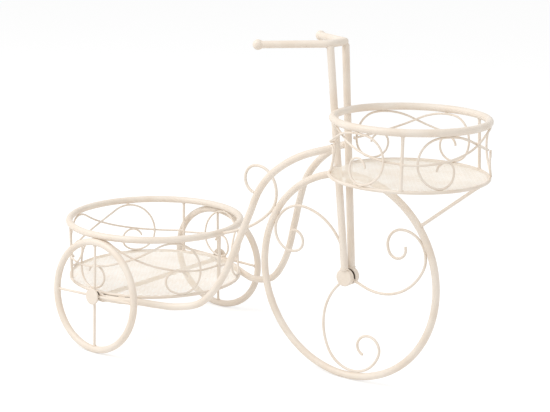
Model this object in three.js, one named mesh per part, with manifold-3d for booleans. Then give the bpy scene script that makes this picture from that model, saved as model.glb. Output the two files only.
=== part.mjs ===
import * as THREE from 'three';
import { mergeVertices } from 'three/addons/utils/BufferGeometryUtils.js';
import Module from 'manifold-3d';

// A flower cart stand: a steel tricycle with a high front wheel, two small rear wheels and two
// round baskets for pots. Millimetres, +Z up, +X forward, +Y to the rider's left. The stand is
// built from the front wheel's ground contact and then moved, so that the origin is on the
// ground under the middle of the whole stand.

// Stock, and the gap left between pieces that touch
const seatGap = 0.3;
const tubeDiameter = 12;
const pinDiameter = 6;
const pinClearance = 0.3;

// Front wheel
const frontWheelRadius = 170;
const spokeDiameter = 4.5;
const hubAhead = 2;
const hubDiscDiameter = 29;
const hubDiscThickness = 10.2;
const hubSleeveDiameter = 14;
const hubSleeveLength = 5;
const hubRecessDepth = 4.8;

// Fork and handlebar
const forkFootHalfWidth = 10;
const forkTopHalfWidth = 21.4;
const forkSetback = 30;
const handlebarHeight = 557;
const handlebarBack = 0.5;
const handlebarFlat = 30;
const handlebarCorner = 14;
const handlebarSplay = 33.6;
const handlebarArm = 100;
const handlebarDroop = 2.05;
const gripBallDiameter = 17;

// Rear wheels
const wheelbase = 412;
const rearTrack = 335;
const rearWheelRadius = 94.5;
const rearCamber = 4.1;
const rearToe = 1.8;
const crossSpokeDiameter = 4.5;
const crossSpokeCount = 4;
const rearWheelTurn = 2.5;
const crossHubDiameter = 14;
const crossHubInside = 2.6;
const crossHubOutside = 3.9;
const capDiameter = 28.5;
const capThickness = 4;
const capRecessDiameter = 12;
const capRecessDepth = 2.8;
const spacerDiameter = 12;
const spacerThickness = 1.7;
const lugThickness = 4;
const lugRadius = 8;
const pinHeadDiameter = 9;
const pinHeadThickness = 1.8;
const clipDiameter = 10;
const clipThickness = 0.8;
const clipGrooveDiameter = 4.4;
const clipMouth = 60;
const axleRodDiameter = 8;

// Frame tubes: where each leaves the fork, the way down as points ahead of the front axle and then
// of the rear basket's centre, and where it lies along the rear ring
const frameJointHeight = 392;
const frameBelowRing = 7;
const frameSeatAngles = [59, 70, 81];
const frameWayBesideWheel = [
  [-55, 47, 379],
  [-82, 58, 364],
  [-110, 63.5, 341.5],
  [-133, 66, 312],
  [-149, 70, 271],
  [-165, 78, 225],
  [-193, 90, 153],
];
const frameWayBeforeBasket = [
  [192.5, 100, 108.5],
  [144.5, 110, 94],
  [111.5, 122.5, 94],
];

// Baskets
const postDiameter = 5;
const scrollDiameter = 3.5;
const scrollLayer = 2;
const floorThickness = 1.8;
const floorEdgeGap = 0.5;
const floorRise = 1.5;
const meshPitchLong = 44;
const meshPitchShort = 32;
const meshStrand = 3;
const meshBorder = 4;
const smallestOpening = 60;

const frontRimHeight = 450.5;
const frontRimRadius = 121;
const frontRingHeight = 361.5;
const frontRingRadius = 125;
const frontRingDiameter = 5.5;
const frontPostAngles = [-63.5, 58.8];
const frontWallInset = 1;
const frontScrollOffsets = [53, 53, 55, 44, 53, 57];
const frontScrollHeading = 82.4;
const frontScrollBends = [[14.6, -162], [23.1, -107], [37.3, -166], [116.6, -32.5], [299, 34]];

const rearRimHeight = 205.2;
const rearRimRadius = 154;
const rearRingHeight = 103.5;
const rearRingRadius = 153;
const rearRingDiameter = 5.5;
const rearPostAngles = [-1.3, 111.2, 235];
const rearWallInset = 3.7;
const rearBasketBehindAxle = 9.5;
const rearScrollOffsets = [71.5, 71.5, 82, 71.5, 71.5, 68.5];
const rearScrollHeading = 68.7;
const rearScrollBends = [[19.3, -213.5], [34.6, -115.4], [51.9, -130], [340, 52]];

// Bent wires in the middle plane
const wheelScrolls = [
  { angle: 225.1, bends: [[19, 0], [97, 71.7], [54.9, 134.7], [21.9, 175.5], [15, 96.9]] },
  { angle: 340, bends: [[26.4, 0], [89.4, 86.7], [42.5, 121.6], [27.2, 110.2], [16.5, 168.4]] },
  { angle: 103.3, bends: [[22.1, 0], [96.7, 69.9], [54.8, 73.2], [33.4, 137.9], [17.5, 172.6]] },
];
const centreScrollDiameter = 5;
const centreScrollHeading = 15.2;
const centreScrollBends = [[340, 9.5], [167.8, 20.8], [48.8, 81.1], [38.4, 67.8], [24.3, 153.1]];
const strutDiameter = 5.5;

// Facets
const tubeSides = 8;
const wireSides = 6;
const turnedSides = 16;
const stepTurn = 28;
const stepLength = 26;
const largeRingSteps = 40;
const smallRingSteps = 28;
const frameTubeSteps = 34;
const ballSteps = 7;

// Search for a wire's size or length: its samples, its halvings and the shares that it lies between
const wireSamples = 400;
const halvings = 40;
const sizeShares = [0.3, 2];
const lengthShares = [0.6, 1];

// Places worked out from the sizes above
const tubeRadius = tubeDiameter / 2;
const pinRadius = pinDiameter / 2;
const pinBore = pinRadius + pinClearance;
const frontAxle = new THREE.Vector3(0, 0, frontWheelRadius + tubeRadius);
const frontHub = new THREE.Vector3(hubAhead, 0, frontAxle.z);
const camber = THREE.MathUtils.degToRad(rearCamber);
const toe = THREE.MathUtils.degToRad(rearToe);
const rearAxleHeight = (rearWheelRadius + tubeRadius) * Math.cos(camber);
const lugInside = -crossHubInside - seatGap - spacerThickness - seatGap - lugThickness;
const rimSeat = tubeRadius + tubeRadius + seatGap;

const wasm = await Module();
wasm.setup();

// Materials

function powderCoat() {
  return new THREE.MeshStandardMaterial({ color: 0xeee1ce, roughness: 0.5, metalness: 0 });
}

function meshCoat() {
  return new THREE.MeshStandardMaterial({ color: 0xf1e6d6, roughness: 0.6, metalness: 0 });
}

function bareSteel() {
  return new THREE.MeshStandardMaterial({ color: 0xbfbdb6, roughness: 0.35, metalness: 0.9 });
}

// Curves and solids shared by the pieces

function radians(degrees) {
  return THREE.MathUtils.degToRad(degrees);
}

function onCircle(radius, angle) {
  return new THREE.Vector2(radius * Math.cos(angle), radius * Math.sin(angle));
}

// A point a share of the way along one bend of a wire: straight where its turn is 0, otherwise
// on an arc whose centre lies to the side that it turns to.
function alongBend({ at, heading, size, turn }, share) {
  if (turn === 0) {
    return onCircle(size * share, heading).add(at);
  }
  const side = Math.sign(turn) * Math.PI / 2;
  const centre = onCircle(size, heading + side).add(at);
  return onCircle(size, heading - side + turn * share).add(centre);
}

// A straight stretch is one step, and an arc has enough for its turn and for its length
function bendSteps({ size, turn }) {
  if (turn === 0) {
    return 1;
  }
  const byTurn = Math.abs(turn) / radians(stepTurn);
  const byLength = size * Math.abs(turn) / stepLength;
  return Math.ceil(Math.max(byTurn, byLength));
}

// A wire bent in one plane, bend after bend. A bend is a radius and a turn in degrees, or a
// length and no turn. place carries the plane's points into space, and until cuts the wire off
// at a share of its steps.
class BentWire extends THREE.Curve {
  constructor(start, heading, bends, place, scale = 1, until = 1) {
    super();
    this.place = place;
    this.until = until;
    this.bends = [];
    this.fullSteps = 0;
    let at = start;
    let angle = radians(heading);
    for (const [size, degrees] of bends) {
      const bend = { at, heading: angle, size: size * scale, turn: radians(degrees) };
      bend.firstStep = this.fullSteps;
      bend.steps = bendSteps(bend);
      this.bends.push(bend);
      this.fullSteps += bend.steps;
      at = alongBend(bend, 1);
      angle += bend.turn;
    }
    this.steps = Math.ceil(this.fullSteps * until);
  }

  flatPoint(t) {
    const step = Math.min(t * this.until, 1) * this.fullSteps;
    const bend = this.bends.findLast(({ firstStep }) => firstStep <= step + 1e-9);
    return alongBend(bend, (step - bend.firstStep) / bend.steps);
  }

  getPoint(t) {
    return this.place(this.flatPoint(t));
  }

  getUtoTmapping(u) {
    return u;
  }
}

function middlePlane(point) {
  return new THREE.Vector3(point.x, 0, point.y);
}

// The value in a range at which a rising function passes through 0
function risingRoot(valueAt, [low, high]) {
  for (let halving = 0; halving < halvings; halving += 1) {
    const middle = (low + high) / 2;
    if (valueAt(middle) < 0) {
      low = middle;
    } else {
      high = middle;
    }
  }
  return (low + high) / 2;
}

function samples(wire) {
  return Array.from({ length: wireSamples + 1 }, (_, index) => wire.flatPoint(index / wireSamples));
}

function farthest(wire, point) {
  return Math.max(...samples(wire).map((sample) => sample.distanceTo(point)));
}

function nearest(wire, point) {
  return Math.min(...samples(wire).map((sample) => sample.distanceTo(point)));
}

function tubeAlong(curve, radius, sides, steps) {
  const sideTurn = 2 * Math.PI / sides;
  const corners = Array.from({ length: sides }, (_, side) => onCircle(radius, side * sideTurn));
  const section = new THREE.Shape(corners);
  return new THREE.ExtrudeGeometry(section, { extrudePath: curve, steps, bevelEnabled: false });
}

function wireGeometry(wire, diameter) {
  return tubeAlong(wire, diameter / 2, wireSides, wire.steps);
}

function piece(name, geometry, material) {
  const mesh = new THREE.Mesh(geometry, material);
  mesh.name = name;
  return mesh;
}

// A straight round bar from one point to another
function bar(name, from, to, diameter, sides, material) {
  const length = from.distanceTo(to);
  const geometry = new THREE.CylinderGeometry(diameter / 2, diameter / 2, length, sides);
  const mesh = piece(name, geometry, material);
  const direction = to.clone().sub(from).normalize();
  mesh.quaternion.setFromUnitVectors(new THREE.Vector3(0, 1, 0), direction);
  mesh.position.copy(from).add(to).multiplyScalar(0.5);
  return mesh;
}

// A turned piece: its profile is a list of radius and place along the axis, which is +Y
function turned(profile) {
  const points = profile.map(([radius, along]) => new THREE.Vector2(radius, along));
  return new THREE.LatheGeometry(points, turnedSides);
}

// A flat outline, or several, made that thick from the ground plane up
function plateOf(outline, thickness, curveSegments) {
  return new THREE.ExtrudeGeometry(outline, { depth: thickness, bevelEnabled: false, curveSegments });
}

// A ring of tube that lies flat, with its axis along Z
function flatRing(radius, diameter, sides, steps) {
  return new THREE.TorusGeometry(radius, diameter / 2, sides, steps);
}

function solidOf(geometry) {
  const bare = geometry.clone();
  bare.deleteAttribute('normal');
  bare.deleteAttribute('uv');
  const merged = mergeVertices(bare, 1e-4);
  const vertProperties = merged.attributes.position.array;
  const triVerts = new Uint32Array(merged.index.array);
  return new wasm.Manifold(new wasm.Mesh({ numProp: 3, vertProperties, triVerts }));
}

function geometryOf(solid) {
  const { vertProperties, triVerts } = solid.getMesh();
  const geometry = new THREE.BufferGeometry();
  geometry.setAttribute('position', new THREE.BufferAttribute(vertProperties, 3));
  geometry.setIndex(new THREE.BufferAttribute(triVerts, 1));
  geometry.computeVertexNormals();
  return geometry;
}

// Fork: two straight legs from the hub discs up to the handlebar, leaning back and opening out

const forkFootHeight = frontHub.z + hubDiscDiameter / 2 + seatGap;
const forkTopHeight = handlebarHeight - tubeRadius - seatGap;

function forkPoint(side, height) {
  const share = (height - forkFootHeight) / (forkTopHeight - forkFootHeight);
  const halfWidth = forkFootHalfWidth + (forkTopHalfWidth - forkFootHalfWidth) * share;
  return new THREE.Vector3(hubAhead - forkSetback * share, side * halfWidth, height);
}

function forkLeg(name, side) {
  const foot = forkPoint(side, forkFootHeight);
  const top = forkPoint(side, forkTopHeight);
  return bar(name, foot, top, tubeDiameter, tubeSides, powderCoat());
}

// Handlebar: one tube, flat across the fork's top, with two arms that open to the rear

const gripBallRadius = gripBallDiameter / 2;
const gripSeat = Math.sqrt(gripBallRadius ** 2 - tubeRadius ** 2);
const handlebarAhead = forkPoint(1, forkTopHeight).x - handlebarBack;
const handlebarPlace = new THREE.Vector3(handlebarAhead, 0, handlebarHeight);

function handlebarPoint(point) {
  const droop = radians(handlebarDroop);
  const back = point.x * Math.cos(droop);
  const drop = point.x * Math.sin(droop);
  return new THREE.Vector3(back, point.y, drop).add(handlebarPlace);
}

function handlebarWire() {
  const turn = 90 - handlebarSplay;
  const halfBends = [[handlebarFlat / 2, 0], [handlebarCorner, turn], [handlebarArm, 0]];
  const half = new BentWire(new THREE.Vector2(), 90, halfBends, handlebarPoint);
  const end = half.flatPoint(1);
  const start = new THREE.Vector2(end.x, -end.y);
  const arm = [handlebarArm, 0];
  const corner = [handlebarCorner, turn];
  const bends = [arm, corner, [handlebarFlat, 0], corner, arm];
  return new BentWire(start, handlebarSplay, bends, handlebarPoint);
}

function gripBall(name, wire, t) {
  const profile = [[0, -gripSeat]];
  const firstAngle = -Math.acos(tubeRadius / gripBallRadius);
  for (let step = 0; step < ballSteps; step += 1) {
    const angle = firstAngle + (Math.PI / 2 - firstAngle) * step / ballSteps;
    profile.push([gripBallRadius * Math.cos(angle), gripBallRadius * Math.sin(angle)]);
  }
  profile.push([0, gripBallRadius]);
  const outward = wire.getTangent(t).multiplyScalar(t === 0 ? -1 : 1);
  const mesh = piece(name, turned(profile), powderCoat());
  mesh.quaternion.setFromUnitVectors(new THREE.Vector3(0, 1, 0), outward);
  mesh.position.copy(wire.getPoint(t)).addScaledVector(outward, gripSeat + seatGap);
  return mesh;
}

function handlebar() {
  const wire = handlebarWire();
  const bent = piece('handlebar', tubeAlong(wire, tubeRadius, tubeSides, wire.steps), powderCoat());
  return [bent, gripBall('grip_ball_right', wire, 0), gripBall('grip_ball_left', wire, 1)];
}

// Front wheel: a tube ring, three scrolled spokes on a sleeve, and a disc on each side of it

function frontWheelRim() {
  const geometry = flatRing(frontWheelRadius, tubeDiameter, tubeSides, largeRingSteps);
  const rim = piece('front_wheel_rim', geometry, powderCoat());
  rim.rotation.x = Math.PI / 2;
  rim.position.copy(frontAxle);
  return rim;
}

// A spoke starts on the sleeve and is bent large enough to touch the rim's inner side
function scrollSpoke(name, { angle, bends }) {
  const hub = new THREE.Vector2(frontHub.x, frontHub.z);
  const wheelCentre = new THREE.Vector2(frontAxle.x, frontAxle.z);
  const start = onCircle(hubSleeveDiameter / 2 + seatGap, radians(angle)).add(hub);
  const reach = frontWheelRadius - tubeRadius - seatGap - spokeDiameter / 2;
  const wireOf = (scale) => new BentWire(start, angle, bends, middlePlane, scale);
  const past = (scale) => farthest(wireOf(scale), wheelCentre) - reach;
  const wire = wireOf(risingRoot(past, sizeShares));
  return piece(name, wireGeometry(wire, spokeDiameter), powderCoat());
}

// The pin stops as far short of each disc's blind hole as the disc stands off the sleeve
function frontHubPieces() {
  const outer = hubSleeveDiameter / 2;
  const half = hubSleeveLength / 2;
  const sleeve = [[pinBore, -half], [outer, -half], [outer, half], [pinBore, half], [pinBore, -half]];
  const pinHalf = half + hubRecessDepth;
  const pin = [[0, -pinHalf], [pinRadius, -pinHalf], [pinRadius, pinHalf], [0, pinHalf]];
  const meshes = [
    piece('front_hub_sleeve', turned(sleeve), powderCoat()),
    piece('front_axle_pin', turned(pin), bareSteel()),
  ];
  for (const mesh of meshes) {
    mesh.position.copy(frontHub);
  }
  return [...meshes, hubDisc('hub_disc_right', -1), hubDisc('hub_disc_left', 1)];
}

// A disc with a blind hole for the pin in its inner face
function hubDisc(name, side) {
  const rim = hubDiscDiameter / 2;
  const blindHole = [[0, hubRecessDepth], [pinBore, hubRecessDepth], [pinBore, 0]];
  const profile = [...blindHole, [rim, 0], [rim, hubDiscThickness], [0, hubDiscThickness]];
  const mesh = piece(name, turned(profile), powderCoat());
  mesh.position.copy(frontHub);
  mesh.position.y = side * (hubSleeveLength / 2 + seatGap);
  mesh.rotation.z = side > 0 ? 0 : Math.PI;
  return mesh;
}

// Rear wheels: each leans in at the top and turns on a pin fixed in its frame tube's lug

function rearWheelPlace(side) {
  const place = new THREE.Group();
  place.position.set(-wheelbase, side * rearTrack / 2, rearAxleHeight);
  place.rotation.set(side * camber, 0, side * toe, 'ZYX');
  const outward = new THREE.Group();
  outward.rotation.z = side > 0 ? 0 : Math.PI;
  place.add(outward);
  place.updateMatrixWorld(true);
  return { place, outward };
}

function wheelCross() {
  const outer = crossHubDiameter / 2;
  const [low, high] = [-crossHubInside, crossHubOutside];
  const profile = [[pinBore, low], [outer, low], [outer, high], [pinBore, high], [pinBore, low]];
  let solid = solidOf(turned(profile));
  const inner = (pinBore + outer) / 2;
  const reach = rearWheelRadius - tubeRadius - seatGap;
  const radius = crossSpokeDiameter / 2;
  for (let spoke = 0; spoke < crossSpokeCount; spoke += 1) {
    const geometry = new THREE.CylinderGeometry(radius, radius, reach - inner, wireSides);
    geometry.translate(0, (reach + inner) / 2, 0);
    geometry.rotateX(Math.PI / 2);
    geometry.rotateY(radians(rearWheelTurn) + 2 * Math.PI * spoke / crossSpokeCount);
    solid = solid.add(solidOf(geometry));
  }
  return geometryOf(solid);
}

function wheelCap() {
  const inside = crossHubOutside + seatGap;
  const outside = inside + capThickness;
  const floor = inside + capRecessDepth;
  const recess = capRecessDiameter / 2;
  const rim = capDiameter / 2;
  const hollow = [[0, floor], [recess, floor], [recess, inside]];
  return turned([...hollow, [rim, inside], [rim, outside], [0, outside]]);
}

const clipInside = crossHubOutside + seatGap + capRecessDepth / 4;

function wheelPin() {
  const head = pinHeadDiameter / 2;
  const groove = clipGrooveDiameter / 2;
  const headOutside = lugInside - seatGap;
  const headInside = headOutside - pinHeadThickness;
  const grooveStart = clipInside - pinClearance / 2;
  const grooveEnd = clipInside + clipThickness + pinClearance / 2;
  const end = crossHubOutside + capRecessDepth;
  return turned([
    [0, headInside], [head, headInside], [head, headOutside], [pinRadius, headOutside],
    [pinRadius, grooveStart], [groove, grooveStart], [groove, grooveEnd], [pinRadius, grooveEnd],
    [pinRadius, end], [0, end],
  ]);
}

function wheelSpacer() {
  const outside = -crossHubInside - seatGap;
  const inside = outside - spacerThickness;
  const rim = spacerDiameter / 2;
  return turned([[pinBore, inside], [rim, inside], [rim, outside], [pinBore, outside], [pinBore, inside]]);
}

// An open clip pressed into the pin's groove
function wheelClip() {
  const half = radians(clipMouth / 2);
  const shape = new THREE.Shape();
  shape.absarc(0, 0, clipDiameter / 2, half, 2 * Math.PI - half, false);
  shape.absarc(0, 0, clipGrooveDiameter / 2 + pinClearance / 2, 2 * Math.PI - half, half, true);
  const geometry = plateOf(shape, clipThickness, turnedSides);
  geometry.rotateX(-Math.PI / 2);
  geometry.translate(0, clipInside, 0);
  return geometry;
}

function rearWheel(hand, side) {
  const { place, outward } = rearWheelPlace(side);
  const rimGeometry = flatRing(rearWheelRadius, tubeDiameter, tubeSides, smallRingSteps);
  rimGeometry.rotateX(Math.PI / 2);
  rimGeometry.rotateY(radians(rearWheelTurn));
  const name = `rear_wheel_${hand}`;
  outward.add(
    piece(`${name}_rim`, rimGeometry, powderCoat()),
    piece(`${name}_cross`, wheelCross(), powderCoat()),
    piece(`${name}_cap`, wheelCap(), powderCoat()),
    piece(`${name}_pin`, wheelPin(), bareSteel()),
    piece(`${name}_spacer`, wheelSpacer(), bareSteel()),
    piece(`${name}_clip`, wheelClip(), bareSteel()),
  );
  return place;
}

// Frame tubes: each leaves its fork leg with an end shaped to it, sweeps down beside the front
// wheel, lies along the rear basket's ring and ends in a flat lug that holds the wheel's pin

const rearBasketCentre = new THREE.Vector2(-wheelbase - rearBasketBehindAxle, 0);
const frameSeat = tubeRadius + rearRingDiameter / 2 + seatGap;
const frameAlongRadius = rearRingRadius + Math.sqrt(frameSeat ** 2 - frameBelowRing ** 2);

function framePoint(side, angle) {
  const flat = onCircle(frameAlongRadius, radians(angle)).add(rearBasketCentre);
  return new THREE.Vector3(flat.x, side * flat.y, rearRingHeight - frameBelowRing);
}

function frameCurve(side) {
  const besideWheel = frameWayBesideWheel.map(([x, y, z]) => new THREE.Vector3(x, side * y, z));
  const beforeBasket = frameWayBeforeBasket
    .map(([x, y, z]) => new THREE.Vector3(rearBasketCentre.x + x, side * y, z));
  const way = [...besideWheel, ...beforeBasket];
  const leg = forkPoint(side, frameJointHeight);
  const insideLeg = way[0].clone().sub(leg).setLength(tubeRadius / 2).add(leg);
  const points = [insideLeg, ...way];
  for (const angle of frameSeatAngles) {
    points.push(framePoint(side, angle));
  }
  return new THREE.CatmullRomCurve3(points);
}

// The lug is a plate with round ends, square to the wheel's axle
function axleLug(side) {
  const { outward } = rearWheelPlace(side);
  const tubeEnd = outward.worldToLocal(framePoint(side, frameSeatAngles.at(-1)));
  const shape = new THREE.Shape();
  const ahead = Math.atan2(-tubeEnd.z, tubeEnd.x);
  const tubeEndFlat = new THREE.Vector2(tubeEnd.x, -tubeEnd.z);
  shape.absarc(0, 0, lugRadius, ahead + Math.PI / 2, ahead + 3 * Math.PI / 2, false);
  shape.absarc(tubeEndFlat.x, tubeEndFlat.y, tubeRadius, ahead - Math.PI / 2, ahead + Math.PI / 2, false);
  const bore = new THREE.Path();
  bore.absarc(0, 0, pinBore, 0, 2 * Math.PI, true);
  shape.holes.push(bore);
  const geometry = plateOf(shape, lugThickness, tubeSides);
  geometry.rotateX(-Math.PI / 2);
  geometry.translate(0, lugInside, 0);
  geometry.applyMatrix4(outward.matrixWorld);
  return solidOf(geometry);
}

function frameTube(name, side) {
  const tube = solidOf(tubeAlong(frameCurve(side), tubeRadius, tubeSides, frameTubeSteps));
  const legDiameter = tubeDiameter + 2 * seatGap / Math.cos(Math.PI / tubeSides);
  const foot = forkPoint(side, forkFootHeight);
  const top = forkPoint(side, forkTopHeight);
  const leg = bar('leg', foot, top, legDiameter, tubeSides, null);
  leg.updateMatrixWorld(true);
  leg.geometry.applyMatrix4(leg.matrixWorld);
  const solid = tube.subtract(solidOf(leg.geometry)).add(axleLug(side));
  return piece(name, geometryOf(solid), powderCoat());
}

// The axle rod lies under the rear basket's ring, from one wheel's pin to the other's
function axleRod() {
  const { outward } = rearWheelPlace(1);
  const head = outward.localToWorld(new THREE.Vector3(0, lugInside - seatGap - pinHeadThickness, 0));
  const end = head.y - Math.sin(camber) * pinHeadDiameter / 2 - seatGap;
  const height = rearRingHeight - rearRingDiameter / 2 - seatGap - axleRodDiameter / 2;
  const from = new THREE.Vector3(-wheelbase, -end, height);
  const to = new THREE.Vector3(-wheelbase, end, height);
  return bar('rear_axle_rod', from, to, axleRodDiameter, tubeSides, powderCoat());
}

// Baskets: a tube rim and a wire ring, joined by posts and by crossed scrolls in the wall, with a
// floor of open mesh inside the ring

// The front basket's rim touches the fork legs, so its centre follows from them
function frontBasketCentre() {
  const leg = forkPoint(1, frontRimHeight);
  return new THREE.Vector2(leg.x + Math.sqrt((frontRimRadius + rimSeat) ** 2 - leg.y ** 2), 0);
}

const frontBasket = {
  name: 'front_basket',
  centre: frontBasketCentre(),
  rimHeight: frontRimHeight,
  rimRadius: frontRimRadius,
  ringHeight: frontRingHeight,
  ringRadius: frontRingRadius,
  ringDiameter: frontRingDiameter,
  wallInset: frontWallInset,
  postAngles: frontPostAngles,
  scrollOffsets: frontScrollOffsets,
  scrollHeading: frontScrollHeading,
  scrollBends: frontScrollBends,
};

const rearBasket = {
  name: 'rear_basket',
  centre: rearBasketCentre,
  rimHeight: rearRimHeight,
  rimRadius: rearRimRadius,
  ringHeight: rearRingHeight,
  ringRadius: rearRingRadius,
  ringDiameter: rearRingDiameter,
  wallInset: rearWallInset,
  postAngles: rearPostAngles,
  scrollOffsets: rearScrollOffsets,
  scrollHeading: rearScrollHeading,
  scrollBends: rearScrollBends,
};

function wallRadius(basket, height) {
  const share = (height - basket.ringHeight) / (basket.rimHeight - basket.ringHeight);
  return basket.ringRadius + (basket.rimRadius - basket.wallInset - basket.ringRadius) * share;
}

function onBasket(basket, radius, angle, height) {
  const flat = onCircle(radius, angle).add(basket.centre);
  return new THREE.Vector3(flat.x, flat.y, height);
}

function basketRim(basket) {
  const geometry = flatRing(basket.rimRadius, tubeDiameter, tubeSides, largeRingSteps);
  geometry.translate(basket.centre.x, basket.centre.y, basket.rimHeight);
  return piece(`${basket.name}_rim`, geometry, powderCoat());
}

function rearRing(basket) {
  const geometry = flatRing(basket.ringRadius, basket.ringDiameter, wireSides, largeRingSteps);
  geometry.translate(basket.centre.x, basket.centre.y, basket.ringHeight);
  return piece(`${basket.name}_ring`, geometry, powderCoat());
}

// What stands in a basket's wall: its direction from the basket's centre, and half the angle that
// it takes out of the wall
function postSupports(basket) {
  const half = (postDiameter / 2 + seatGap) / basket.ringRadius;
  return basket.postAngles.map((degrees) => ({ angle: radians(degrees), half }));
}

function turnOn({ angle, half }) {
  return { angle: angle + 2 * Math.PI, half };
}

function legSupport(basket, side, height) {
  const leg = forkPoint(side, height);
  const angle = Math.PI - side * Math.atan2(side * leg.y, basket.centre.x - leg.x);
  return { angle, half: (tubeRadius + seatGap) / basket.ringRadius };
}

// The front ring is open where the fork legs pass, and its ends rest on their outer sides
function frontRing(basket) {
  const leg = legSupport(basket, -1, basket.ringHeight);
  const open = THREE.MathUtils.radToDeg(leg.angle + leg.half) - 180;
  const start = onCircle(basket.ringRadius, radians(open - 180)).add(basket.centre);
  const place = (point) => new THREE.Vector3(point.x, point.y, basket.ringHeight);
  const half = [basket.ringRadius, 180 - open];
  const wire = new BentWire(start, open - 90, [half, half], place);
  const geometry = tubeAlong(wire, basket.ringDiameter / 2, wireSides, largeRingSteps);
  return piece(`${basket.name}_ring`, geometry, powderCoat());
}

function basketPost(basket, number, { angle }) {
  const foot = basket.ringHeight + basket.ringDiameter / 2 + seatGap;
  const head = basket.rimHeight - tubeRadius - seatGap;
  const from = onBasket(basket, basket.ringRadius, angle, foot);
  const to = onBasket(basket, basket.rimRadius, angle, head);
  return bar(`${basket.name}_post_${number}`, from, to, postDiameter, wireSides, powderCoat());
}

// A scroll lies in the wall: from its curl near one support it loops down to the ring and up to
// the rim, and then sweeps on to the other support. The two scrolls of a panel run opposite ways
// round, one inside the other.
function basketScroll(basket, number, from, to) {
  const side = Math.sign(to.angle - from.angle);
  const half = scrollDiameter / 2;
  const ringSeat = basket.ringDiameter / 2 + half + seatGap;
  const bottom = basket.ringHeight + Math.sqrt(ringSeat ** 2 - scrollLayer ** 2);
  const rimOffset = basket.wallInset - scrollLayer;
  const top = basket.rimHeight - Math.sqrt((tubeRadius + half + seatGap) ** 2 - rimOffset ** 2);
  const start = new THREE.Vector2(basket.scrollOffsets[number - 1], 0);
  const drawn = new BentWire(start, basket.scrollHeading, basket.scrollBends, middlePlane);
  const heights = samples(drawn).map((point) => point.y);
  const lowest = Math.min(...heights);
  const stretch = (top - bottom) / (Math.max(...heights) - lowest);
  const around = wallRadius(basket, (top + bottom) / 2);
  const place = ({ x, y }) => {
    const height = bottom + (y - lowest) * stretch;
    const radius = wallRadius(basket, height) - side * scrollLayer;
    return onBasket(basket, radius, from.angle + side * x / around, height);
  };
  const wireUntil = (until) => {
    return new BentWire(start, basket.scrollHeading, basket.scrollBends, place, 1, until);
  };
  const stop = (Math.abs(to.angle - from.angle) - to.half) * around;
  const until = risingRoot((share) => wireUntil(share).flatPoint(1).x - stop, lengthShares);
  const geometry = wireGeometry(wireUntil(until), scrollDiameter);
  return piece(`${basket.name}_scroll_${number}`, geometry, powderCoat());
}

// The floor is a round plate with diamond openings in staggered rows. back is where it is cut
// straight, measured from its centre.
function basketFloor(basket, back) {
  const radius = basket.ringRadius - basket.ringDiameter / 2 - floorEdgeGap;
  const cutDepth = floorThickness * 2;
  const plate = solidOf(midPlate(cutCircle(radius, back), floorThickness));
  const window = solidOf(midPlate(cutCircle(radius - meshBorder, back + meshBorder), cutDepth));
  const diamonds = solidOf(midPlate(floorDiamonds(radius), cutDepth));
  const smallest = smallestOpening * cutDepth;
  const openings = diamonds.intersect(window).decompose().filter((opening) => opening.volume() > smallest);
  const geometry = geometryOf(plate.subtract(wasm.Manifold.union(openings)));
  geometry.translate(basket.centre.x, basket.centre.y, basket.ringHeight + floorRise);
  return piece(`${basket.name}_floor`, geometry, meshCoat());
}

function cutCircle(radius, back) {
  const open = Math.acos(Math.min(-back / radius, 1));
  const outline = new THREE.Shape();
  outline.absarc(0, 0, radius, open - Math.PI, Math.PI - open, false);
  return outline;
}

// A plate that is centred on the ground plane
function midPlate(outline, thickness) {
  return plateOf(outline, thickness, largeRingSteps).translate(0, 0, -thickness / 2);
}

// The diamonds between strands that cross at the floor's centre
function floorDiamonds(radius) {
  const columnGap = meshPitchLong / 2;
  const rowGap = meshPitchShort / 2;
  const shrink = meshStrand / 2 / (columnGap * rowGap / Math.hypot(columnGap, rowGap));
  const [halfLong, halfShort] = [columnGap * (1 - shrink), rowGap * (1 - shrink)];
  const corners = [[halfLong, 0], [0, halfShort], [-halfLong, 0], [0, -halfShort]]
    .map(([x, y]) => new THREE.Vector2(x, y));
  const columns = Math.ceil(radius / columnGap);
  const rows = Math.ceil(radius / rowGap);
  const diamonds = [];
  for (let column = -columns; column <= columns; column += 1) {
    for (let row = -rows; row <= rows; row += 1) {
      if ((column + row) % 2 !== 0) {
        const middle = new THREE.Vector2(column * columnGap, row * rowGap);
        diamonds.push(new THREE.Shape(corners.map((corner) => corner.clone().add(middle))));
      }
    }
  }
  return diamonds;
}

function wallScrolls(basket, panels) {
  const scrolls = [];
  for (const [from, to] of panels) {
    scrolls.push(basketScroll(basket, scrolls.length + 1, from, to));
    scrolls.push(basketScroll(basket, scrolls.length + 1, to, from));
  }
  return scrolls;
}

function posts(basket, supports) {
  return supports.map((support, index) => basketPost(basket, index + 1, support));
}

// The front basket has two posts, and the fork legs stand in the place of a third
function frontWall(basket) {
  const middle = (basket.ringHeight + basket.rimHeight) / 2;
  const [right, left] = postSupports(basket);
  const legLeft = legSupport(basket, 1, middle);
  const legRight = legSupport(basket, -1, middle);
  const panels = [[right, left], [left, legLeft], [legRight, turnOn(right)]];
  return [...posts(basket, [right, left]), ...wallScrolls(basket, panels)];
}

function rearWall(basket) {
  const [first, second, third] = postSupports(basket);
  const panels = [[first, second], [second, third], [third, turnOn(first)]];
  return [...posts(basket, [first, second, third]), ...wallScrolls(basket, panels)];
}

function frontFloorBack() {
  const leg = forkPoint(1, frontRingHeight + floorRise - floorThickness / 2);
  return leg.x + tubeRadius + seatGap - frontBasket.centre.x;
}

// Wires in the middle plane: the strut under the front basket and the scroll in front of the rear
// basket, which touches the rim behind it and the wheel ahead of it

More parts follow.
